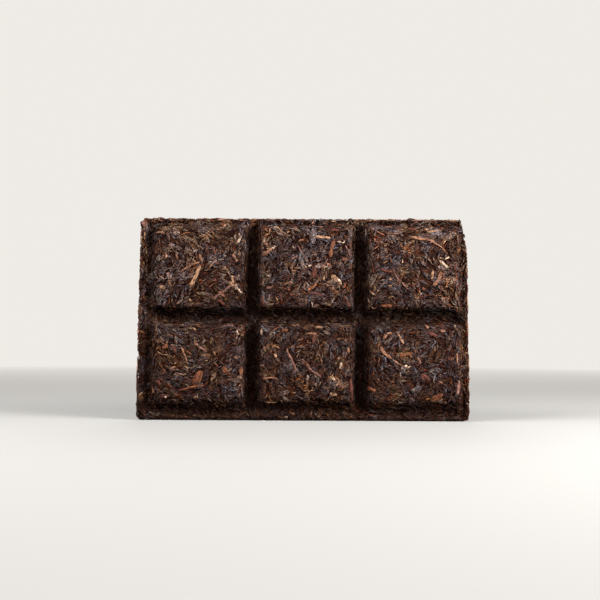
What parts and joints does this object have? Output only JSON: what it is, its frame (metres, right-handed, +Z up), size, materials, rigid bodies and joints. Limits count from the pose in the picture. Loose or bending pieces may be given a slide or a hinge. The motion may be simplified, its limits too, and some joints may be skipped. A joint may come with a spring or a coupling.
{
  "type": "pressed tea brick",
  "caption": "Slab of pressed dark ripe tea leaf, scored by deep grooves into even pillows inside a low lip, standing on one long edge.",
  "frame": {"origin": "middle of the brick's box, at the surface that it stands on", "axes": "+Z up, +X along the brick's length, to the right seen from its pillowed face, which points to -Y and leans back a little"},
  "size_m": [0.1, 0.0174, 0.0613],
  "materials": {
    "pressed_leaf": "matte to faintly waxy pressed leaf, very dark brown with reddish-brown and tan flecks"
  },
  "bodies": {
    "root": {"tea_brick": "pressed_leaf"}
  },
  "joints": []
}
